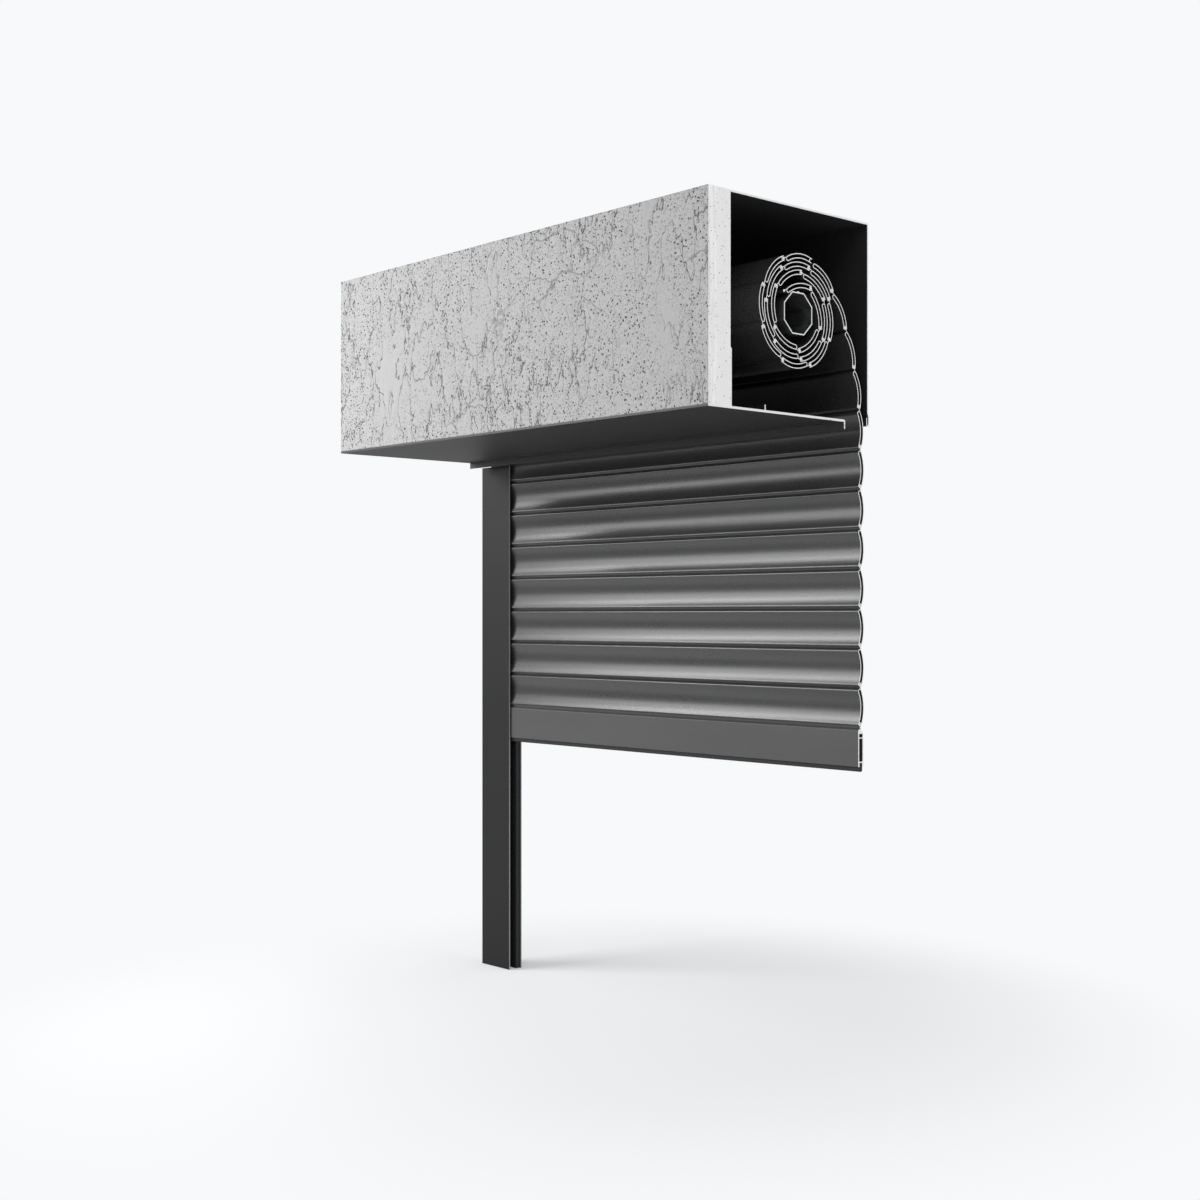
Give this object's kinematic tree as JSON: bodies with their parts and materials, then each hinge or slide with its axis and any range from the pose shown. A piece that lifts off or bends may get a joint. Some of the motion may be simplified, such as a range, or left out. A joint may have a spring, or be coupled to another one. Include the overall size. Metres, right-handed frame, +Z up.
{
  "type": "exterior roller shutter",
  "caption": "Exterior roller shutter: foam-clad box with a rendered front, octagonal shaft, wound hollow slats, guide rail, bottom bar and swing-down inspection cover, cut open at one end.",
  "frame": {"origin": "under the middle of the part, on the plane of the guide rail's foot, half way between the rendered face and the rail's back", "axes": "+X along the slats from the rail to the cut end, +Y from the rendered face towards the room, +Z up"},
  "size_m": [0.596, 0.227, 0.82],
  "materials": {
    "render": "mineral render, scraped and pitted",
    "carrier_foam": "white expanded foam with fine beads",
    "box_aluminium": "dark coated aluminium sheet",
    "edge_strip": "dark coated aluminium extrusion",
    "zinc_screws": "zinc plated",
    "galvanised_steel": "galvanised sheet steel",
    "shaft_tube": "galvanised octagonal steel tube",
    "black_nylon": "black moulded nylon",
    "motor_casing": "grey coated steel tube",
    "rubber": "matt black rubber",
    "rail_paint": "aluminium extrusion with dark grey powder coat, satin",
    "cover_paint": "aluminium extrusion with dark grey powder coat, satin",
    "bar_paint": "aluminium extrusion with mid grey powder coat, satin",
    "slat_paint": "aluminium with grey stove enamel and a fine metallic speckle"
  },
  "bodies": {
    "frame": {"render_coat": "render", "carrier_board": "carrier_foam", "edge_strip": "edge_strip", "roof_panel": "box_aluminium", "rear_panel": "box_aluminium", "left_side_plate": "box_aluminium", "side_plate_screws": "zinc_screws", "motor_bracket": "galvanised_steel", "motor_bracket_screws": "zinc_screws", "motor_head": "black_nylon", "motor_tube": "motor_casing", "cable_grommet": "rubber", "guide_rail": "rail_paint", "rail_foot_plug": "black_nylon", "rail_seal_front": "rubber", "rail_seal_rear": "rubber", "rail_inlet_guide": "black_nylon"},
    "inspection_cover": {"inspection_cover": "cover_paint"},
    "shaft": {"octagonal_tube": "shaft_tube", "motor_crown": "black_nylon", "drive_wheel": "black_nylon", "curtain_hangers": "galvanised_steel", "wound_turn_1": "slat_paint", "wound_turn_2": "slat_paint", "wound_turn_3": "slat_paint", "wound_turn_4": "slat_paint"},
    "curtain": {"slat_01": "slat_paint", "slat_02": "slat_paint", "slat_03": "slat_paint", "slat_04": "slat_paint", "slat_05": "slat_paint", "slat_06": "slat_paint", "slat_07": "slat_paint", "bottom_bar": "bar_paint", "bottom_bar_seal": "rubber", "bottom_bar_cap": "black_nylon", "slat_end_clips": "black_nylon"},
    "slat_08": {"slat_08": "slat_paint"},
    "slat_09": {"slat_09": "slat_paint"},
    "slat_10": {"slat_10": "slat_paint"},
    "slat_11": {"slat_11": "slat_paint"},
    "slat_12": {"slat_12": "slat_paint"}
  },
  "joints": [
    {"name": "inspection_cover_swing", "type": "hinge", "parent": "frame", "child": "inspection_cover", "pos_m": [0, -0.1135, 0.6232], "axis": [-1, 0, 0], "range_deg": [0, 90]},
    {"name": "shaft_turn", "type": "hinge", "parent": "frame", "child": "shaft", "pos_m": [0, 0.008, 0.7185], "axis": [-1, 0, 0], "range_deg": [0, 41.68]},
    {"name": "curtain_travel", "type": "slide", "parent": "frame", "child": "curtain", "axis": [0, 0, -1], "range_m": [0, 0.03882]},
    {"name": "slat_08_hinge", "type": "hinge", "parent": "curtain", "child": "slat_08", "pos_m": [0, 0.0992, 0.59816], "axis": [1, 0, 0], "range_deg": [-2.49, 0]},
    {"name": "slat_09_hinge", "type": "hinge", "parent": "slat_08", "child": "slat_09", "pos_m": [0, 0.09754, 0.63713], "axis": [1, 0, 0], "range_deg": [-6.59, 0]},
    {"name": "slat_10_hinge", "type": "hinge", "parent": "slat_09", "child": "slat_10", "pos_m": [0, 0.08998, 0.67539], "axis": [1, 0, 0], "range_deg": [0, 0.46]},
    {"name": "slat_11_hinge", "type": "hinge", "parent": "slat_10", "child": "slat_11", "pos_m": [0, 0.07696, 0.71215], "axis": [1, 0, 0], "range_deg": [-2.69, 0]},
    {"name": "slat_12_hinge", "type": "hinge", "parent": "slat_11", "child": "slat_12", "pos_m": [0, 0.05718, 0.74576], "axis": [1, 0, 0], "range_deg": [-9.48, 0]}
  ],
  "couplings": [
    {"joint": "shaft_turn", "follows": "curtain_travel", "rad_per_m": 18.722},
    {"joint": "slat_08_hinge", "follows": "curtain_travel", "rad_per_m": -1.096},
    {"joint": "slat_09_hinge", "follows": "curtain_travel", "rad_per_m": -2.9412},
    {"joint": "slat_10_hinge", "follows": "curtain_travel", "rad_per_m": 0.18266},
    {"joint": "slat_11_hinge", "follows": "curtain_travel", "rad_per_m": -1.1873},
    {"joint": "slat_12_hinge", "follows": "curtain_travel", "rad_per_m": -4.2371}
  ]
}
